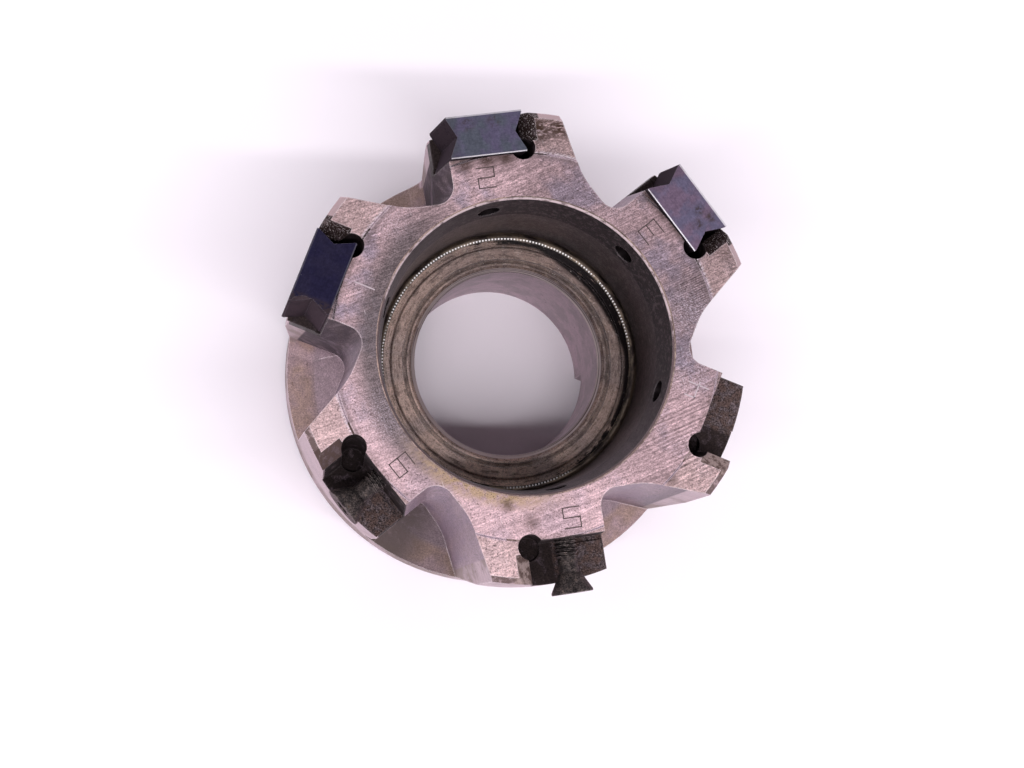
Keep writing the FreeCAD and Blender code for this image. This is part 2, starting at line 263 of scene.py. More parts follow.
# The body's material with the values that its colours share
class BodyLook(Look):
    def __init__(self, name):
        super().__init__(name)
        x, y, z = self.x, self.y, self.z
        self.r = self.root(x * x + y * y)
        self.turn = self.math("ARCTAN2", y, x)
        start = math.radians(bodySet["sectorStart"])
        self.sector = self.math("FLOORED_MODULO", self.turn + start, math.tau / bodySet["pockets"]) - start
        self.n = self.r * self.math("COSINE", self.sector)
        self.t = self.r * self.math("SINE", self.sector)
        self.patchy = self.noise(self.where, 0.16, 3.0)
        self.mottled = self.noise(self.where, 0.9, 4.0, 0.65)
        self.grain = self.noise(self.where, 5.0, 2.0, 0.75)
        self.wander = (self.mottled - 0.5) * 0.35
        cut = bodySet["cut"]
        dx, dy = x - cut["centre"][0], y - cut["centre"][1]
        self.cut = self.root(dx ** 2.0 + dy ** 2.0) - cut["radius"]
        self.cutAlong = x * 0.719 + y * 0.695
        self.arcs = self.noise(self.vector(self.cut * 4.2, self.cutAlong * 0.10, 0.0), 1.0, 2.0, 0.7)
        self.turned = self.noise(self.vector(z * 3.4, self.turn * 0.7, 1.0), 1.0, 2.0, 0.7)
        self.rings = self.noise(self.vector(self.r * 6.0, self.turn * 0.5, 0.0), 1.0, 1.0)
        c, s = self.math("COSINE", self.turn), self.math("SINE", self.turn)
        around = self.vector(c * 6.0, s * 6.0, z * 0.35)
        self.streak = self.noise(around, 0.6, 3.0, 0.6)
        self.streakFine = self.noise(self.vector(self.turn * 3.0, z * 0.9, self.r * 1.4), 1.5, 3.0, 0.7)
        self.glint = self.step(self.noise(self.where, 2.6, 2.0, 0.8), 0.67, 0.73)
        self.findZones()

    # Direction round the axis, 1 towards the given angle
    def toward(self, degrees):
        a = math.radians(degrees)
        return (self.x * math.cos(a) + self.y * math.sin(a)) / self.r

    # 1 between two angles
    def sweep(self, start, end, soft):
        return self.band(self.turn, math.radians(start), math.radians(end), soft)

    # Brightness that follows the grain, not below the least
    def grit(self, least, strength):
        return self.high(least, 1.0 + strength * (self.grain - 0.5))

    # Each zone of the body is 1 inside and 0 elsewhere
    def findZones(self):
        p = bodySet["place"]
        r, z, n, t, nz = self.r, self.z, self.n, self.t, self.nz
        self.top = self.step(nz, *p["topFacing"]) * self.step(z, *p["topStart"])
        self.rimEdge = (r < p["rim"][0]) * (z > p["rim"][1]) * (nz > 0.2)
        self.headEdge = (r > p["head"][0]) * (z > p["head"][1]) * (nz > 0.3) * (nz < 0.9)
        inside = 1.0 - self.step(r, *p["mouth"])
        self.sink = inside * self.step(z, *p["seatStart"]) * (1.0 - self.top)
        self.seatFlat = self.step(nz, 0.5, 0.7)
        self.bore = (r < p["bore"]) * (1.0 - self.sink)
        self.chamfer = self.band(z, p["chamfer"][1], p["chamfer"][2], 0.05) * (r > p["chamfer"][0])
        self.outer = self.step(r, *p["outer"]) * (self.size(nz) < 0.5)
        self.gulletFloor = (z < p["gulletFloor"][1]) * self.step(nz, 0.08, 0.3) * (r > p["gulletFloor"][0])
        onOutside = (r > p["outside"]) * (self.size(nz) < 0.25)
        pocket = (n > p["pocketBack"]) * self.band(t, *p["pocketEnds"], 0.1) * (z > p["pocketFloor"])
        relief = (n > p["relief"][0]) * (n < p["relief"][1])
        relief = relief * self.band(t, *p["reliefEnds"], 0.1) * (z > p["reliefFloor"])
        self.pocket = self.high(pocket * (1.0 - onOutside), relief) * (1.0 - self.top)
        away = self.root((t - pocketSet["offset"]) ** 2.0 + (z - pocketSet["centre"]) ** 2.0)
        reach = (n > p["screwHoleReach"][0]) * (n < p["screwHoleReach"][1])
        self.screwHoleShade = (away < p["screwHoleRadius"]) * reach
        self.empty = self.toward(-60.0) > 0.06
        self.landZone = self.step(r, *p["land"])
        # Painted shade under inserts 1 and 2: the walls there are darkened, and also made rougher and less
        # metallic
        shadeUnderInserts = self.high(self.sweep(-172.0, -160.0, 0.05), self.sweep(132.0, 143.0, 0.05))
        shadeUnderInserts = shadeUnderInserts * (1.0 - self.gulletFloor) * (1.0 - self.outer)
        self.shadeUnderInserts = shadeUnderInserts * (1.0 - self.top) * (r > 20.5)
        oily = self.step(self.toward(49.0), -0.25, 0.9)
        ringStart = p["oilRing"][0] - 1.1 * self.step(self.toward(62.0), 0.80, 1.0)
        ring = self.band(r, ringStart, p["oilRing"][1], 0.35)
        self.oil = ring * self.step(self.streakFine * 0.7 + self.mottled * 0.35 + oily * 0.30, 0.62, 0.72)


# Flat face: fly-cut ripples, fine scratches, blue and brown films
def faceColour(look):
    x, y, r, turn, cut, along = look.x, look.y, look.r, look.turn, look.cut, look.cutAlong
    patchy, mottled, grain = look.patchy, look.mottled, look.grain
    c = bodySet["colour"]
    ridges = look.noise(look.vector(cut * 1.5, along * 0.07, 4.0), 1.0, 1.0)
    ripple = look.math("SINE", cut * (math.tau / bodySet["cut"]["ripple"]) + patchy * 5.0 + ridges * 3.0)
    rippleShare = 0.25 + 0.75 * look.spot((25.0, -3.0), 6.5, 4.5)
    comb = look.math("SINE", cut * (math.tau / bodySet["cut"]["comb"]) + mottled * 2.0)
    combShare = look.spot((19.6, 16.6), 4.4, 3.0) * (r < 25.6)
    lay = look.noise(look.vector(cut * 4.6, along * 1.1, 2.0), 1.0, 2.0, 0.75)
    crossing = look.vector((x * 0.8 + y * 0.6) * 4.6, (x * 0.6 - y * 0.8) * 0.25, 7.0)
    cross = look.noise(crossing, 1.0, 2.0, 0.8)

    # Brightness
    bright = 0.79 + 0.17 * look.toward(-98.9) + 0.22 * look.spot((-13.5, 17.0), 5.0, 4.0)
    bright = bright - 0.17 * look.spot((19.9, -8.9), 4.5, 3.5) + 0.12 * look.spot((16.7, -16.0), 3.5, 3.0)
    calm = 1.0 - 0.45 * look.step(look.toward(-105.0), 0.1, 0.7)
    lines = 1.0 + 0.95 * calm * (look.arcs - 0.5) + 0.8 * (ridges - 0.5)
    lines = lines + 0.24 * ripple * rippleShare + 0.34 * comb * combShare
    bright = bright * look.high(0.12, lines) * look.grit(0.2, 2.2)
    bright = bright * (0.50 + mottled) * look.high(0.1, 1.0 + 2.0 * calm * (lay - 0.5))

    # Films and shaded parts
    blueFilm = look.step(patchy + ripple * 0.03 * rippleShare, 0.47, 0.64)
    blueFilm = blueFilm * (1.0 - 0.7 * look.step(look.toward(-70.0), 0.2, 0.8))
    face = look.mix(blueFilm, c["face"], c["faceBlue"])
    face = look.mix(look.landZone * 0.55, face, c["land"])
    shaded = look.spot((20.0, 15.0), 5.2, 3.4) * (1.0 - look.landZone)
    face = look.mix(shaded * 0.72, face, c["faceShaded"])
    bluish = look.spot((20.5, 8.0), 4.4, 3.0) * look.step(mottled, 0.35, 0.65)
    face = look.mix(bluish * 0.55, face, c["faceBluish"])
    greyRim = (1.0 - look.step(r, 20.8, 24.2)) * look.step(look.toward(200.0), 0.30, 0.85)
    face = look.mix(greyRim * 0.90, face, c["faceGrey"])
    face = look.shade(face, bright)

    # Scratches, pits and stains
    for place, radius, strength in bodySet["paleSpots"]:
        flecks = look.spot(place, radius, radius) * look.step(grain + cross * 0.4, 0.66, 0.86) * strength
        face = look.mix(flecks * 0.6, face, c["paleFleck"])
    face = look.mix(look.step(cross, 0.66, 0.74) * look.step(patchy, 0.36, 0.56) * 0.55, face, c["scratch"])
    ringMark = look.step(look.noise(look.vector(r * 3.0, turn * 1.6, 2.0), 1.0, 2.0, 0.7), 0.66, 0.76)
    face = look.mix(ringMark * 0.42, face, c["ringMark"])
    pepper = look.step(look.noise(look.where, 2.4, 3.0, 0.8), 0.57, 0.64)
    face = look.mix(pepper * look.step(patchy, 0.32, 0.52) * 0.85, face, c["pepper"])
    stainArc = look.band(r, 18.8, 21.2, 1.1) * look.band(turn, -1.95, -1.12, 0.28)
    face = look.mix(stainArc * look.step(mottled, 0.32, 0.58) * 0.85, face, c["stain"])
    face = look.mix(stainArc * look.step(grain, 0.53, 0.61) * 0.85, face, c["stainSpeck"])
    dabbing = look.vector((x * 0.87 + y * 0.5) * 0.9, (x * 0.5 - y * 0.87) * 3.6, 3.0)
    dabs = look.noise(dabbing, 1.0, 2.0, 0.7)
    for place, radius, strength, roughEdge in bodySet["dirtSpots"]:
        texture = grain * 0.6 + mottled * 0.45 if roughEdge else dabs
        dirt = look.spot(place, radius, radius * 0.9) * look.step(texture, 0.40, 0.52) * strength
        face = look.mix(dirt, face, c["dirt"])
    fringe = look.band(look.n, 24.8, 25.6, 0.3) * look.band(look.t, -4.5, 6.5, 1.0)
    face = look.mix(fringe * look.step(mottled, 0.42, 0.62) * 0.55, face, c["pocketFringe"])

    # Line where the lands start, away from the pockets
    start, middle, end = bodySet["place"]["shoulder"]
    shoulder = 1.0 - look.sweep(-104.0, -5.0, 0.02)
    shoulder = shoulder * look.high(look.sector < -0.17, look.sector > 0.35)
    dark = look.band(r + look.wander, start, middle, 0.22) * shoulder
    face = look.mix(dark * 0.5, face, c["shoulderDark"])
    pale = look.band(r + look.wander, middle, end, 0.22) * shoulder * look.step(lay, 0.40, 0.60)
    return look.mix(pale * 0.6, face, c["shoulderBright"])


# Gullet walls, with soot and a painted shadow run down one of them, and painted shade under the inserts and
# on their outer part
def wallColour(look):
    c = bodySet["colour"]
    smooth = look.noise(look.vector(look.x * 0.5, look.y * 0.5, look.z * 0.08), 1.0, 2.0)
    wall = look.mix(look.step(smooth, 0.38, 0.62), c["wall"], c["wallSecond"])
    wall = look.shade(wall, (0.50 + look.mottled) * look.grit(0.1, 3.0))
    specks = look.step(look.cells(look.where, 0.9), 0.18, 0.10) * look.step(look.patchy, 0.44, 0.56)
    wall = look.mix(specks * 0.5, wall, c["wallSpeck"])
    # Soot and painted shadow: a dark run on the walls below inserts 1 and 2
    sootAndShadow = look.band(look.t, 4.6, 11.0, 0.8) * look.step(look.toward(150.0), 0.3, 0.8)
    drips = look.noise(look.vector(look.turn * 40.0, look.z * 0.12, 5.0), 1.0, 2.0, 0.7)
    wall = look.mix(sootAndShadow * look.step(drips + 0.3 * look.mottled, 0.42, 0.72) * 0.75, wall, c["sootAndShadow"])
    # Painted shade: the walls towards -25° are darkened on their outer part
    outerWallShade = look.step(look.r, 24.5, 29.5) * look.step(look.toward(-25.0), 0.86, 0.97)
    # Painted shade under the inserts is put on here as well
    return look.shade(look.shade(wall, 1.0 - 0.5 * outerWallShade), 1.0 - 0.45 * look.shadeUnderInserts)


# Hub at the foot of the gullets, with the cove at its inner end, and painted light and shade on it
def hubColour(look):
    c = bodySet["colour"]
    hub = look.mix(look.step(look.patchy, 0.42, 0.6), c["hub"], c["hubSecond"])
    hub = look.mix(1.0 - look.step(look.r + look.wander, 25.3, 26.5), hub, c["cove"])
    # Painted light and shade: the hub is lighter towards 209° and -37°, and darker towards -91°
    sideLight = 1.0 + 0.40 * look.step(look.toward(209.0), 0.7, 0.95)
    sideLight = sideLight + 0.3 * look.step(look.toward(-37.0), 0.85, 0.97)
    sideLight = sideLight - 0.26 * look.step(look.toward(-91.0), 0.85, 0.97)
    hub = look.shade(hub, sideLight * (0.50 + look.mottled) * (0.15 + 1.7 * look.grain))
    shaded = look.sweep(-111.0, -93.0, 0.09) * look.step(look.mottled + 0.02 * look.r, 0.72, 1.0)
    hub = look.mix(shaded * 0.85, hub, c["hubShaded"])
    pits = look.step(look.noise(look.where, 1.3, 3.0, 0.8), 0.645, 0.70)
    return look.mix(pits * 0.75, hub, c["hubPit"])


# Turned outside: oxide, knocks and rubbed streaks
def outsideColour(look):
    c = bodySet["colour"]
    oxide = look.noise(look.vector(look.x * 0.11, look.y * 0.11, look.z * 0.07), 1.0, 4.0, 0.65)
    outside = look.mix(look.step(oxide - look.z * 0.004, 0.36, 0.52), c["outside"], c["outsideSecond"])
    bright = (0.45 + 1.1 * look.turned) * (0.70 + 0.6 * look.mottled) * (0.6 + 0.8 * look.grain)
    outside = look.shade(outside, bright)
    knocks = look.step(look.noise(look.where, 0.85, 3.0, 0.8), 0.62, 0.68)
    outside = look.mix(knocks * 0.6, outside, c["knock"])
    rubbing = look.noise(look.vector(look.z * 0.35, look.turn * 34.0, 3.0), 1.0, 2.0, 0.75)
    return look.mix(look.step(rubbing, 0.64, 0.70) * 0.35, outside, c["rub"])


# Counterbore wall: sooty above, oily below, pale where the light reaches it
def sinkColour(look):
    c = bodySet["colour"]
    shelf = look.step(look.z + (look.streak - 0.5) * 0.5, 33.1, 33.4)
    paleSide = look.high(look.step(look.toward(-129.0), -0.5, 1.0) * 0.85,
                         look.step(look.toward(-45.0), 0.55, 1.0) * 0.55)
    wall = look.mix(shelf, c["sinkLow"], c["sinkTop"])
    wall = look.mix(paleSide * (1.0 - 0.45 * shelf), wall, c["sinkPale"])
    wall = look.shade(wall, (0.10 + 1.8 * look.streak) * look.grit(0.05, 6.0))
    wall = look.mix(look.step(look.streakFine, 0.56, 0.68) * 0.65, wall, c["oil"])
    flecks = look.step(look.noise(look.where, 1.5, 3.0, 0.8), 0.525, 0.60)
    wall = look.mix(flecks * (1.0 - paleSide) * 0.60, wall, c["sinkFleck"])
    return look.mix(look.glint * (1.0 - paleSide) * 0.22, wall, c["sinkGlint"])


# Seat at the foot of the counterbore: turned rings, grime and oil
def seatColour(look):
    c, p = bodySet["colour"], bodySet["place"]
    r, turn = look.r, look.turn
    seat = look.mix(look.step(look.streak, 0.4, 0.6), c["seat"], c["seatSecond"])
    # Painted light: the seat is lighter towards -105° and darker on the other side
    seat = look.shade(seat, (0.50 + look.mottled) * (1.0 + 0.40 * look.toward(-105.0)) * look.grit(0.1, 3.2))
    seat = look.shade(seat, 0.70 + 0.6 * look.rings)
    seat = look.mix(look.band(r, *p["wornRing"], 0.2) * 0.25, seat, c["seatWorn"])
    swept = look.noise(look.vector(turn * 5.5, r * 1.5, 3.0), 1.0, 4.0, 0.75)
    seat = look.mix(look.step(swept, 0.48, 0.62) * 0.66, seat, c["grime"])
    worn = look.step(look.noise(look.vector(turn * 16.0, r * 3.0, 6.0), 1.0, 3.0, 0.8), 0.53, 0.66)
    seat = look.mix(worn * 0.50, seat, c["seatBright"])
    seat = look.mix(look.oil, seat, c["oil"])
    seat = look.mix(look.band(r, *p["innerGroove"], 0.05) * 0.45, seat, c["groove"])
    seat = look.mix(look.step(look.grain, 0.60, 0.68) * 0.6, seat, c["seatPit"])
    return look.mix(look.glint * look.step(look.toward(70.0), -0.2, 0.8) * 0.8, seat, c["seatGlint"])


# Bore and the chamfer at its mouth
def boreColour(look):
    c = bodySet["colour"]
    bore = look.mix(look.step(look.streak, 0.4, 0.62), c["bore"], c["boreSecond"])
    bore = look.shade(bore, (0.72 + 0.6 * look.mottled) * (0.6 + 0.8 * look.grain))
    spots = look.step(look.noise(look.where, 0.7, 3.0, 0.8), 0.66, 0.70)
    bore = look.mix(spots * 0.6, bore, c["boreSpot"])
    lit = look.step(look.rings + 0.25 * look.high(0.0, look.toward(-100.0)), 0.40, 0.60)
    chamfer = look.mix(lit, c["chamferDark"], c["chamferBright"])
    return look.mix(look.chamfer * 0.75, bore, chamfer)


# Pockets: sooty and rusty where they stand empty, wet and granular behind the inserts
def pocketColour(look):
    c = bodySet["colour"]
    mottled, grain, nz = look.mottled, look.grain, look.nz
    brownSide = look.toward(-120.0)
    soot = look.shade(c["soot"], (0.3 + 1.6 * mottled) * look.grit(0.05, 2.6))
    soot = look.shade(soot, 1.0 - 0.4 * look.step(brownSide, 0.85, 0.95))
    soot = look.mix(look.step(grain, 0.60, 0.70) * 0.30 * (1.0 - look.empty), soot, c["granule"])
    pad = look.shade(look.mix(look.step(mottled, 0.42, 0.58), c["pad"], c["rust"]), look.grit(0.05, 3.0))
    padShare = look.step(nz, 0.6, 0.8) * look.step(look.t, 0.4, 0.9) * look.empty
    soot = look.mix(padShare * look.step(grain + mottled * 0.5, 0.52, 0.90) * 0.9, soot, pad)

    # Bevel of the pocket's corner: worn at pockets 4 and 5, brown at 6, black behind the inserts
    bevel = look.band(nz, 0.3, 0.97, 0.03) * (look.z > 36.8) * (look.t < -2.8)
    worn = look.mix(look.step(mottled, 0.42, 0.58), c["bevel"], c["rust"])
    worn = look.mix(look.step(grain, 0.56, 0.66) * 0.7, worn, c["bevelPit"])
    black = look.mix(look.step(grain, 0.585, 0.64), c["bevelBlack"], c["bevelFleck"])
    brown = look.shade(c["bevelBrown"], 0.5 + mottled)
    black = look.mix(brownSide > 0.85, black, brown)
    return look.mix(bevel, soot, look.mix(look.toward(-42.0) > 0.7, black, worn))


def bodyLook():
    look = BodyLook("cutter_steel")
    c, p = bodySet["colour"], bodySet["place"]
    mottled = look.mottled
    colour = look.mix(look.gulletFloor, wallColour(look), hubColour(look))
    colour = look.mix(look.outer, colour, outsideColour(look))
    colour = look.mix(look.top, colour, faceColour(look))
    headDark = look.step(look.toward(-90.0), -0.3, 0.1) * look.step(mottled, 0.34, 0.50)
    colour = look.mix(look.headEdge, colour, look.mix(headDark * 0.85, c["headEdge"], c["headEdgeDark"]))
    colour = look.mix(look.sink, colour, look.mix(look.seatFlat, sinkColour(look), seatColour(look)))
    colour = look.mix(look.bore, colour, boreColour(look))
    # Rim: a bright line of wear and painted highlight, darker in patches and towards -75°
    rimDark = look.step(mottled + 0.5 * look.step(look.toward(-75.0), -0.5, 0.3), 0.48, 0.68)
    colour = look.mix(look.rimEdge, colour, look.mix(rimDark, c["rim"], c["rimDark"]))
    sooty = look.pocket * (0.70 + 0.30 * look.step(mottled, 0.3, 0.5))
    colour = look.mix(sooty, colour, pocketColour(look))
    # Painted shade: the insides of the screw holes are painted near-black, in the colour that the oil also
    # has
    colour = look.mix(look.screwHoleShade, colour, c["oil"])

    # Worn edges, lightened as wear and as a painted highlight along them
    edge = look.edges(bodySet["edge"] * mm) * look.step(mottled, 0.22, 0.48)
    edge = edge * (1.0 - 0.70 * look.sink) * (1.0 - 0.88 * look.pocket)
    edge = edge * (1.0 - look.band(look.r, *p["rimBand"], 0.05) * (look.z > 39.0))
    edge = edge * (1.0 - 0.8 * look.top * look.band(look.r, 24.6, 26.2, 0.1))
    colour = look.mix(edge * 0.9, colour, c["edge"])

    wet = look.high(look.oil * look.sink * look.seatFlat, look.pocket * (1.0 - look.empty) * 0.7)
    rough = 0.44 + 0.16 * mottled - 0.10 * look.sink + 0.20 * look.pocket - 0.22 * wet
    rough = rough + 0.08 * look.gulletFloor + 0.3 * look.shadeUnderInserts
    metal = 0.82 - 0.22 * look.sink - 0.42 * look.pocket - 0.12 * look.gulletFloor - 0.45 * look.shadeUnderInserts
    height = look.top * look.arcs * 0.6 + look.grain * (0.20 + 0.40 * look.pocket + 0.15 * look.sink)
    height = height + look.outer * look.turned * 0.4
    look.reflect(bodySet["reflection"])
    return look.finish(colour, rough, metal, height, bodySet["bump"], wet * 0.35)


# Inserts: coated carbide with bright ground lands and brown burnt ends. The inner and outer faces
# stand at these distances from the axis. Each insert clouds from colour to second
insertSet = {
    "inner": 25.51, "outer": 31.11, "edge": 0.09, "bump": 0.012,
    "reflection": 0.2, "tint": (0.30, 0.27, 0.34), "sides": (0.035, 0.026, 0.032),
    "landLine": (0.85, 0.82, 0.88), "burnt": (0.062, 0.044, 0.052), "dot": (0.40, 0.40, 0.46),
    "edgeLine": (0.42, 0.38, 0.43),
    1: {"angle": 180.0, "colour": (0.026, 0.023, 0.060), "second": (0.032, 0.028, 0.064),
        "land": 0.10, "burn": 1.0, "blots": None},
    2: {"angle": 120.0, "colour": (0.115, 0.125, 0.165), "second": (0.140, 0.122, 0.205),
        "land": 1.0, "burn": 0.35,
        "blots": {"places": ((29.9, 2.4), (30.0, -1.2)), "reach": (0.3, 1.5), "patchy": (0.46, 0.60),
                  "strength": 0.6, "colour": (0.07, 0.05, 0.045)}},
    3: {"angle": 60.0, "colour": (0.160, 0.112, 0.170), "second": (0.130, 0.115, 0.185),
        "land": 1.0, "burn": 0.3,
        "blots": {"places": ((28.1, -2.6), (30.1, -2.9), (29.4, -1.2)), "reach": (0.2, 1.1),
                  "patchy": (0.40, 0.58), "strength": 0.85, "colour": (0.05, 0.035, 0.03)}},
}


def insertLook(number):
    look = Look("carbide_" + str(number))
    common, s = insertSet, insertSet[number]

    # Place on the insert: n out from the axis, t along its long side, level up its side
    c, sn = math.cos(math.radians(s["angle"])), math.sin(math.radians(s["angle"]))
    ct, st = math.cos(math.radians(pocketSet["tilt"])), math.sin(math.radians(pocketSet["tilt"]))
    n = look.x * c + look.y * sn
    side = look.y * c - look.x * sn - pocketSet["offset"]
    up = look.z - pocketSet["centre"]
    t = side * ct + up * st
    level = up * ct - side * st
    where = look.vector(n, t, level)
    cloud = look.noise(where, 0.35, 3.0)
    mottled = look.noise(where, 1.6, 4.0, 0.7)
    fine = look.noise(look.vector(n * 5.0, t * 0.5, level * 5.0), 1.0, 2.0, 0.7)
    grain = look.noise(where, 3.6, 3.0, 0.75)
    colour = look.mix(look.step(cloud, 0.4, 0.62), s["colour"], s["second"])
    colour = look.shade(colour, 0.62 + 0.34 * mottled + 0.42 * fine)
    topFace = look.nz > 0.85
    colour = look.shade(look.mix(topFace, common["sides"], colour), 0.45 + 1.1 * grain)
    innerLine = topFace * look.band(n, common["inner"] - 0.1, common["inner"] + 0.16, 0.03)
    outerLine = topFace * look.band(n, common["outer"] - 0.20, common["outer"] + 0.1, 0.03)
    colour = look.mix(look.high(innerLine, outerLine * 0.7) * s["land"], colour, common["landLine"])
    burnt = look.step(t, 3.4, 4.3) * look.step(mottled + cloud * 0.5, 0.55, 0.80) * s["burn"]
    colour = look.mix(burnt, colour, common["burnt"])
    blots = s["blots"]
    for place in blots["places"] if blots else ():
        dn, dt = n - place[0], t - place[1]
        blot = 1.0 - look.step(look.root(dn * dn + dt * dt), *blots["reach"])
        blot = blot * look.step(mottled, *blots["patchy"]) * blots["strength"]
        colour = look.mix(blot, colour, blots["colour"])
    dots = look.step(look.cells(where, 0.7), 0.05, 0.03)
    colour = look.mix(dots * 0.35, colour, common["dot"])
    edge = look.edges(common["edge"] * mm)
    colour = look.mix(edge * 0.45 * look.step(mottled, 0.3, 0.5), colour, common["edgeLine"])
    look.reflect(common["reflection"], common["tint"])
    rough = 0.62 + 0.2 * mottled - 0.34 * topFace
    return look.finish(colour, rough, 0.75, fine * 0.4 + mottled * 0.5, common["bump"])


# Screws. Lengths run down from the head's top, whose distance from the axis stands with the
# pocket's angle at each name
screwSet = {
    "headRadius": 2.775, "chamfer": 0.06, "rim": 0.3, "cone": 2.4, "neck": 1.30, "neckLength": 1.9,
    "neckOverlap": 0.05, "shank": 1.465, "root": 1.20, "length": 9.5, "pitch": 0.5, "crest": 1.25,
    "fadeIn": 0.4, "fadeOut": 0.5, "tipThread": 0.05, "socket": 1.05, "socketMouth": 1.15,
    "socketDepth": 1.2, "lobes": 6, "lobeHeight": 0.13, "around": 48, "rows": 96, "smooth": 32,
    "place": {
        "insert_screw_1": (180.0, 31.028), "insert_screw_2": (120.0, 31.028),
        "insert_screw_3": (60.0, 31.028), "loose_screw_5": (300.0, 32.8), "loose_screw_6": (240.0, 31.8),
    },
    "colour": (0.030, 0.026, 0.026), "second": (0.066, 0.053, 0.050), "edgeLine": (0.50, 0.44, 0.43),
    "rust": (0.12, 0.07, 0.045), "edge": 0.12, "bump": 0.02, "reflection": 0.25, "tint": (0.70, 0.52, 0.56),
}


# Black oxide, threads and rims worn
def screwLook(name, worn):
    look = Look(name)
    s = screwSet
    mottled = look.noise(look.where, 1.3, 4.0, 0.7)
    grain = look.noise(look.where, 6.0, 3.0)
    colour = look.mix(look.step(mottled, 0.4, 0.65), s["colour"], s["second"])
    colour = look.shade(colour, look.high(0.1, 1.0 + 5.0 * (grain - 0.5)) * (0.4 + 1.2 * mottled))
    edge = look.edges(s["edge"] * mm)
    colour = look.mix(edge * worn * look.step(mottled, 0.42, 0.60), colour, s["edgeLine"])
    colour = look.mix(look.step(mottled, 0.62, 0.70) * 0.5, colour, s["rust"])
    look.reflect(s["reflection"], s["tint"])
    return look.finish(colour, 0.38 + 0.2 * mottled, 0.6, grain, s["bump"])


def addPiece(name, build, finish, node=None, smooth=None):
    bmesh.ops.recalc_face_normals(build, faces=build.faces)
    mesh = bpy.data.meshes.new(name)
    build.to_mesh(mesh)
    build.free()
    mesh.materials.append(finish)
    piece = bpy.data.objects.new(name, mesh)
    bpy.context.scene.collection.objects.link(piece)
    if smooth is not None:
        mesh.shade_smooth()
        mesh.set_sharp_from_angle(angle=math.radians(smooth))
    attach(piece, "root")
    if node:
        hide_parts(node)


# From a frame whose X runs out through the pocket's middle to the pocket at the angle
def pocketPlace(angle):
    lean = Matrix.Rotation(math.radians(pocketSet["tilt"]), 4, "X")
    shift = Matrix.Translation((0, pocketSet["offset"] * mm, pocketSet["centre"] * mm))
    return Matrix.Rotation(math.radians(angle), 4, "Z") @ shift @ lean


def addScrew(name, finish):
    s = screwSet
    angle, headTop = s["place"][name]
    coneEnd = s["rim"] + s["cone"]
    threadStart = coneEnd + s["neckLength"]

    # Thread: a sheet rolled round the screw, its radius rising and falling along the helix
    build = bmesh.new()
    bmesh.ops.create_grid(build, x_segments=s["around"], y_segments=s["rows"], size=0.5)
    for vert in build.verts:
        turn = vert.co.x + 0.5
        depth = (vert.co.y + 0.5) * (s["length"] - threadStart) + threadStart
        phase = (depth / s["pitch"] - turn) % 1.0
        crest = min(1.0, (1.0 - abs(phase - 0.5) * 2.0) * s["crest"])
        fadeOut = (s["length"] - depth) / s["fadeOut"] + s["tipThread"]
        fade = max(0.0, min(1.0, (depth - threadStart) / s["fadeIn"], fadeOut))
        radius = s["root"] + (s["shank"] - s["root"]) * crest * fade
        a = turn * math.tau
        vert.co = Vector((headTop - depth, radius * math.cos(a), radius * math.sin(a))) * mm
    bmesh.ops.remove_doubles(build, verts=build.verts, dist=1e-6)

    # Neck, cone, head and six-lobe socket, drawn on from the thread's upper rim
    threadTop = (headTop - threadStart - 0.5) * mm
    rim = [e for e in build.edges if e.is_boundary and e.verts[0].co.x > threadTop]
    stages = [(threadStart - s["neckOverlap"], s["neck"]), (coneEnd, s["neck"]), (coneEnd, s["shank"]),
              (s["rim"], s["headRadius"]), (s["chamfer"], s["headRadius"]),
              (0.0, s["headRadius"] - s["chamfer"]), (0.0, s["socket"] * s["socketMouth"])]
    for depth, radius in stages:
        made = bmesh.ops.extrude_edge_only(build, edges=rim)["geom"]
        rim = [g for g in made if isinstance(g, bmesh.types.BMEdge)]
        lobe = s["lobeHeight"] if depth == 0.0 and radius < s["neck"] else 0.0
        for vert in {v for e in rim for v in e.verts}:
            a = math.atan2(vert.co.z, vert.co.y)
            lobed = 1.0 + lobe * math.cos(s["lobes"] * a)
            out = radius * lobed * mm
            vert.co = Vector(((headTop - depth) * mm, out * math.cos(a), out * math.sin(a)))
    made = bmesh.ops.extrude_edge_only(build, edges=rim)["geom"]
    rim = [g for g in made if isinstance(g, bmesh.types.BMEdge)]
    for vert in {v for e in rim for v in e.verts}:
        vert.co.x = (headTop - s["socketDepth"]) * mm
    bmesh.ops.contextual_create(build, geom=rim)
    tip = [e for e in build.edges if e.is_boundary]
    bmesh.ops.contextual_create(build, geom=tip)
    bmesh.ops.transform(build, matrix=pocketPlace(angle), verts=build.verts)
    addPiece(name + "_detail", build, finish, name, s["smooth"])


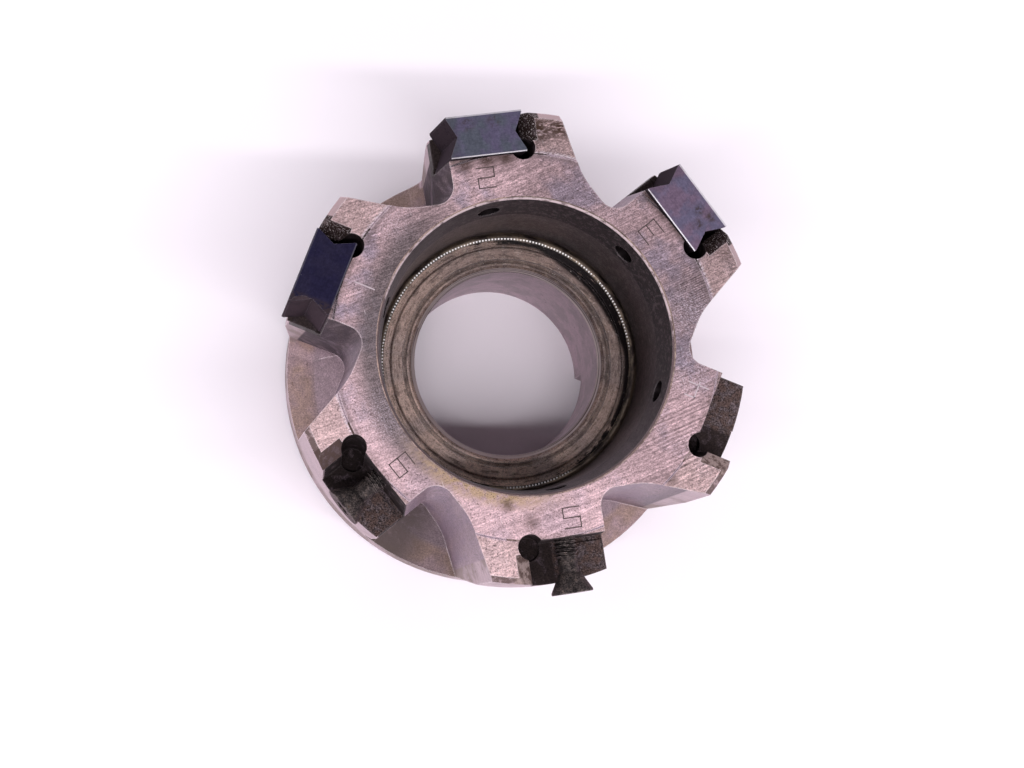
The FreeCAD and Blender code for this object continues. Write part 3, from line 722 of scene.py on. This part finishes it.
# Scribed pocket digits, as thin strokes let into the face. Each place is the pocket's angle and
# the digit's middle, out from the axis and across. The strokes run over a unit square
digitSet = {
    "width": 2.2, "height": 2.7, "stroke": 0.155, "face": 40.0, "lift": 0.012, "depth": 0.05,
    "light": (1, 4), "dark": (0.075, 0.052, 0.052), "bright": (0.52, 0.44, 0.48),
    "place": {1: (180.0, 22.6, 0.7), 2: (120.0, 22.7, 1.9), 3: (60.0, 22.6, 1.6), 4: (0.0, 23.1, 3.0),
              5: (300.0, 23.1, 2.35), 6: (240.0, 22.65, 2.1)},
    "strokes": {
        1: [(0.5, 0.0, 0.5, 1.0)],
        2: [(0, 1, 1, 1), (1, 1, 1, 0.5), (1, 0.5, 0, 0.5), (0, 0.5, 0, 0), (0, 0, 1, 0)],
        3: [(0, 1, 1, 1), (0.25, 0.5, 1, 0.5), (0, 0, 1, 0), (1, 1, 1, 0)],
        4: [(0, 1, 0, 0.5), (0, 0.5, 1, 0.5), (0.8, 1, 0.8, 0)],
        5: [(1, 1, 0, 1), (0, 1, 0, 0.5), (0, 0.5, 1, 0.5), (1, 0.5, 1, 0), (1, 0, 0, 0)],
        6: [(0.9, 1, 0, 1), (0, 1, 0, 0), (0, 0, 1, 0), (1, 0, 1, 0.5), (1, 0.5, 0, 0.5)],
    },
}


def addDigits():
    d = digitSet
    dark = Look("scribed_line").finish((*d["dark"], 1.0), 0.7, 0.3)
    bright = Look("scribed_line_bright").finish((*d["bright"], 1.0), 0.5, 0.6)
    for number, (angle, n, t) in d["place"].items():
        build = bmesh.new()
        for x0, y0, x1, y1 in d["strokes"][number]:
            a = Vector((n - (y0 - 0.5) * d["height"], t + (x0 - 0.5) * d["width"], 0))
            b = Vector((n - (y1 - 0.5) * d["height"], t + (x1 - 0.5) * d["width"], 0))
            run = b - a
            spin = Matrix.Rotation(math.atan2(run.y, run.x), 4, "Z")
            size = Matrix.Diagonal((run.length + d["stroke"], d["stroke"], d["lift"] + d["depth"], 1))
            middle = (a + b) / 2 + Vector((0, 0, d["face"] + (d["lift"] - d["depth"]) / 2))
            made = bmesh.ops.create_cube(build, size=1.0)
            bmesh.ops.transform(build, matrix=Matrix.Translation(middle) @ spin @ size, verts=made["verts"])
        turn = Matrix.Rotation(math.radians(angle), 4, "Z")
        bmesh.ops.transform(build, matrix=turn @ Matrix.Scale(mm, 4), verts=build.verts)
        addPiece("digit_" + str(number), build, bright if number in d["light"] else dark, None)


# Turned fillet with chatter marks at the foot of the counterbore. It reaches a little below the
# seat and behind the wall
filletSet = {
    "radius": 0.9, "wall": 17.95, "seat": 20.5, "below": 0.3, "behind": 0.15, "segments": 8, "around": 240,
    "smooth": 40, "marks": 245.0, "marksAt": (17.12, 17.33), "upperFrom": 2.13, "lowerFrom": -0.94,
    "colour": (0.110, 0.085, 0.066), "second": (0.025, 0.018, 0.017), "markHighlight": (1.0, 0.96, 0.97), "bump": 0.01,
}


# Painted highlights: white dots along the chatter marks, only at the upper side and in a short stretch at the
# lower side
def filletLook():
    look = Look("turned_fillet")
    f = filletSet
    x, y, z = look.x, look.y, look.z
    r = look.root(x * x + y * y)
    turn = look.math("ARCTAN2", y, x)
    chatter = look.step(look.math("SINE", turn * f["marks"]), -0.1, 0.5)
    streak = look.noise(look.vector(turn * 6.0, z, r), 1.2, 4.0, 0.7)
    upper = look.step((x * math.cos(f["upperFrom"]) + y * math.sin(f["upperFrom"])) / r, -0.10, 0.05)
    lower = look.step((x * math.cos(f["lowerFrom"]) + y * math.sin(f["lowerFrom"])) / r, 0.955, 0.975)
    line = look.band(r, *f["marksAt"], 0.03) * look.high(upper, lower) * look.step(streak, 0.36, 0.50)
    colour = look.mix(look.step(streak, 0.40, 0.62), f["colour"], f["second"])
    colour = look.mix(line * chatter, colour, f["markHighlight"])
    return look.finish(colour, 0.34, 0.9 - 0.9 * line, chatter, f["bump"])


def addFillet():
    f = filletSet
    build = bmesh.new()
    points = []
    for i in range(f["segments"] + 1):
        a = math.radians(90.0 * i / f["segments"])
        out = f["wall"] - f["radius"] * (1 - math.cos(a))
        points.append(Vector((out, 0, f["seat"] + f["radius"] * (1 - math.sin(a)))))
    points.append(Vector((f["wall"] - f["radius"], 0, f["seat"] - f["below"])))
    points.append(Vector((f["wall"] + f["behind"], 0, f["seat"] - f["below"])))
    points.append(Vector((f["wall"] + f["behind"], 0, f["seat"] + f["radius"])))
    verts = [build.verts.new(p * mm) for p in points]
    rim = [build.edges.new((verts[i], verts[(i + 1) % len(verts)])) for i in range(len(verts))]
    bmesh.ops.spin(build, geom=rim + verts, axis=(0, 0, 1), cent=(0, 0, 0), angle=math.tau,
                   steps=f["around"], use_merge=True)
    addPiece("counterbore_fillet", build, filletLook(), None, f["smooth"])


# Camera: above the cutter and leaning a little, in a view frame turned about Z
cameraSet = {
    "lens": 99.9, "sensor": 36.0, "turn": 21.1, "place": (-0.05235, -0.04568, 0.4053),
    "right": (0.99063, 0.0, 0.13658), "up": (-0.01494, 0.994, 0.10837), "back": (-0.13576, -0.10939, 0.98469),
}


def addCamera():
    spin = Matrix.Rotation(math.radians(cameraSet["turn"]), 4, "Z")
    axes = Matrix((cameraSet["right"], cameraSet["up"], cameraSet["back"])).transposed().to_4x4()
    data = bpy.data.cameras.new("camera")
    data.lens = cameraSet["lens"]
    data.sensor_width = cameraSet["sensor"]
    camera = bpy.data.objects.new("camera", data)
    camera.matrix_world = spin @ Matrix.Translation(cameraSet["place"]) @ axes
    bpy.context.scene.collection.objects.link(camera)
    bpy.context.scene.camera = camera


floorSet = {"size": 1.5, "colour": (0.90, 0.86, 0.92), "rough": 0.9, "reflection": 0.1}


def addFloor():
    mesh = bpy.data.meshes.new("floor")
    build = bmesh.new()
    bmesh.ops.create_grid(build, x_segments=1, y_segments=1, size=floorSet["size"])
    build.to_mesh(mesh)
    build.free()
    floor = bpy.data.objects.new("floor", mesh)
    bpy.context.scene.collection.objects.link(floor)
    finish = bpy.data.materials.new("floor")
    finish.use_nodes = True
    shader = finish.node_tree.nodes["Principled BSDF"]
    shader.inputs["Base Color"].default_value = (*floorSet["colour"], 1)
    shader.inputs["Roughness"].default_value = floorSet["rough"]
    shader.inputs["Specular IOR Level"].default_value = floorSet["reflection"]
    mesh.materials.append(finish)


# One long light above the lower edge of the view, pale sides all round, a dimmer sky overhead
lightSet = {
    "place": (0.0, -0.272, 0.862), "size": (0.9, 0.05), "power": 5.4, "colour": (1.0, 0.97, 0.985),
    "side": (1.0, 0.965, 1.0), "sideStrength": 1.5, "overStrength": 0.09, "sideTop": 0.55, "overStart": 0.86,
}


def addLights():
    s = lightSet
    data = bpy.data.lights.new("long_light", "AREA")
    data.shape = "RECTANGLE"
    data.size, data.size_y = s["size"]
    data.energy = s["power"]
    data.color = s["colour"]
    light = bpy.data.objects.new("long_light", data)
    spin = Matrix.Rotation(math.radians(cameraSet["turn"]), 4, "Z")
    aim = Matrix.Rotation(math.atan2(s["place"][1], s["place"][2]), 4, "X")
    light.matrix_world = spin @ Matrix.Translation(s["place"]) @ aim.inverted()
    bpy.context.scene.collection.objects.link(light)
    world = bpy.data.worlds.new("world")
    world.use_nodes = True
    sky = Nodes(world.node_tree)
    place = sky.node("ShaderNodeTexCoord").outputs["Generated"]
    height = sky.node("ShaderNodeSeparateXYZ", Vector=place).outputs[2]
    fade = sky.node("ShaderNodeMapRange", {"interpolation_type": "SMOOTHSTEP"}, Value=height,
                    From_Min=s["sideTop"], From_Max=s["overStart"],
                    To_Min=s["sideStrength"], To_Max=s["overStrength"])
    back = world.node_tree.nodes["Background"]
    back.inputs["Color"].default_value = (*s["side"], 1)
    sky.feed(back.inputs["Strength"], fade.outputs[0])
    bpy.context.scene.world = world
    bpy.context.scene.view_settings.view_transform = "Standard"


def dress(node, finish):
    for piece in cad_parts[node].material_slots:
        piece.material = finish


addCamera()
addFloor()
addLights()
print("stage set")
dress("cutter_body", bodyLook())
for number in (1, 2, 3):
    dress("insert_" + str(number), insertLook(number))
print("frame dressed")
clampFinish = screwLook("black_screw", 0.5)
looseFinish = screwLook("black_screw_worn", 0.9)
for name in screwSet["place"]:
    if name.startswith("loose"):
        addScrew(name, looseFinish)
    else:
        addScrew(name, clampFinish)
print("screws made")
addDigits()
addFillet()
print("small pieces made")
bpy.context.view_layer.update()
